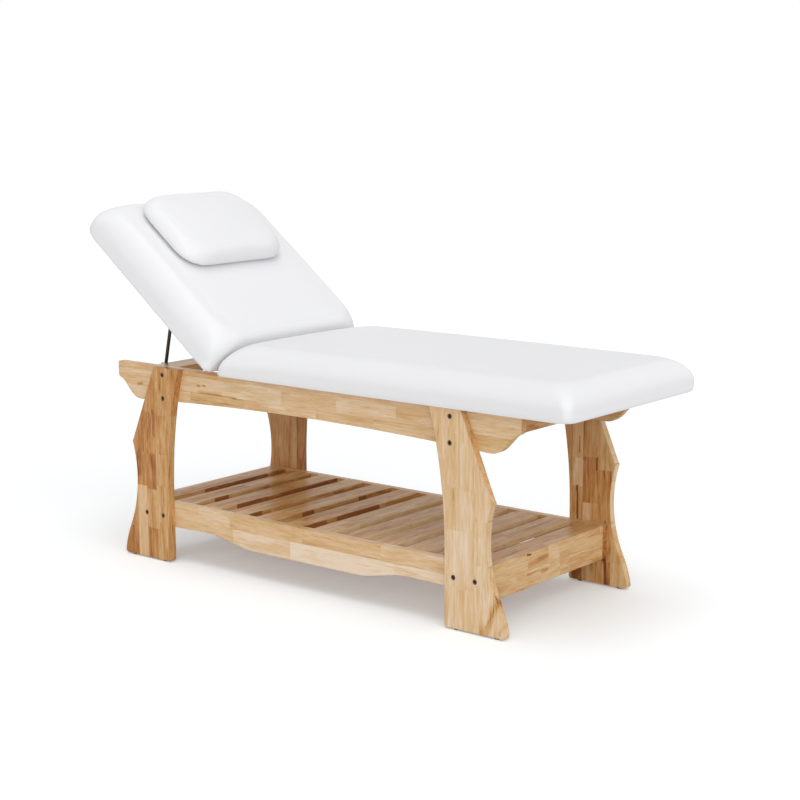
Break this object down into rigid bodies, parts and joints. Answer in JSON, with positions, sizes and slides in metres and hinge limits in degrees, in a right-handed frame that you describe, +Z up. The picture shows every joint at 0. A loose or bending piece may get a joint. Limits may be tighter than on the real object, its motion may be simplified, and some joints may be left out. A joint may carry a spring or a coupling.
{
  "type": "spa treatment bed",
  "caption": "Padded treatment bed on a slab-legged timber frame, with a hinged lift back held by a steel prop, a loose pillow and an open slatted shelf.",
  "frame": {"origin": "on the floor, under the middle of the overall box in X and Y", "axes": "+X from the head end to the foot end, +Y to the side away from the viewer, +Z up"},
  "size_m": [1.9862, 0.736, 1.2399],
  "materials": {
    "wood_pale": "gloss lacquer",
    "wood_amber": "gloss lacquer",
    "plywood": "raw",
    "vinyl": "satin",
    "steel": "satin",
    "dark_steel": "satin",
    "glide": "matte"
  },
  "bodies": {
    "frame": {"leg_head_near": "wood_amber", "leg_head_far": "wood_amber", "leg_foot_near": "wood_pale", "leg_foot_far": "wood_amber", "side_rail_near": "wood_pale", "side_rail_far": "wood_pale", "foot_cross_rail": "wood_pale", "head_cross_board": "wood_pale", "hinge_cross_rail": "wood_pale", "seat_cross_rail": "wood_pale", "shelf_apron_near": "wood_pale", "shelf_apron_far": "wood_pale", "shelf_end_head": "wood_amber", "shelf_end_foot": "wood_amber", "shelf_bearer": "wood_amber", "shelf_cleat_near": "wood_amber", "shelf_cleat_far": "wood_amber", "slat_01": "wood_amber", "slat_02": "wood_amber", "slat_03": "wood_amber", "slat_04": "wood_amber", "slat_05": "wood_amber", "slat_06": "wood_amber", "slat_07": "wood_amber", "slat_08": "wood_amber", "slat_09": "wood_amber", "slat_10": "wood_amber", "slat_11": "wood_amber", "slat_12": "wood_amber", "seat_board": "plywood", "seat_cushion": "vinyl", "hinge_leaves_frame": "steel", "hinge_pins": "steel", "prop_bracket_near": "steel", "prop_bracket_far": "steel", "prop_pins": "steel", "leg_bolts": "dark_steel", "leg_nuts": "dark_steel", "glides": "glide", "hinge_screws": "steel", "bracket_screws": "dark_steel"},
    "back": {"back_board": "plywood", "back_cushion": "vinyl", "back_batten": "wood_amber", "hinge_leaves_back": "steel", "back_hinge_screws": "steel"},
    "prop": {"prop_frame": "steel"},
    "pillow": {"pillow": "vinyl"}
  },
  "joints": [
    {"name": "back_hinge", "type": "hinge", "parent": "frame", "child": "back", "pos_m": [-0.41694, 0, 0.675], "axis": [0, 1, 0], "range_deg": [-38, 0]},
    {"name": "prop_hinge", "type": "hinge", "parent": "frame", "child": "prop", "pos_m": [-0.72994, 0, 0.66], "axis": [0, 1, 0], "range_deg": [-107, 0]},
    {"name": "pillow_lift", "type": "slide", "parent": "back", "child": "pillow", "axis": [0.6157, 0, 0.788], "range_m": [0, 0.15]}
  ],
  "couplings": [
    {"joint": "prop_hinge", "follows": "back_hinge", "ratio": 2.8}
  ]
}
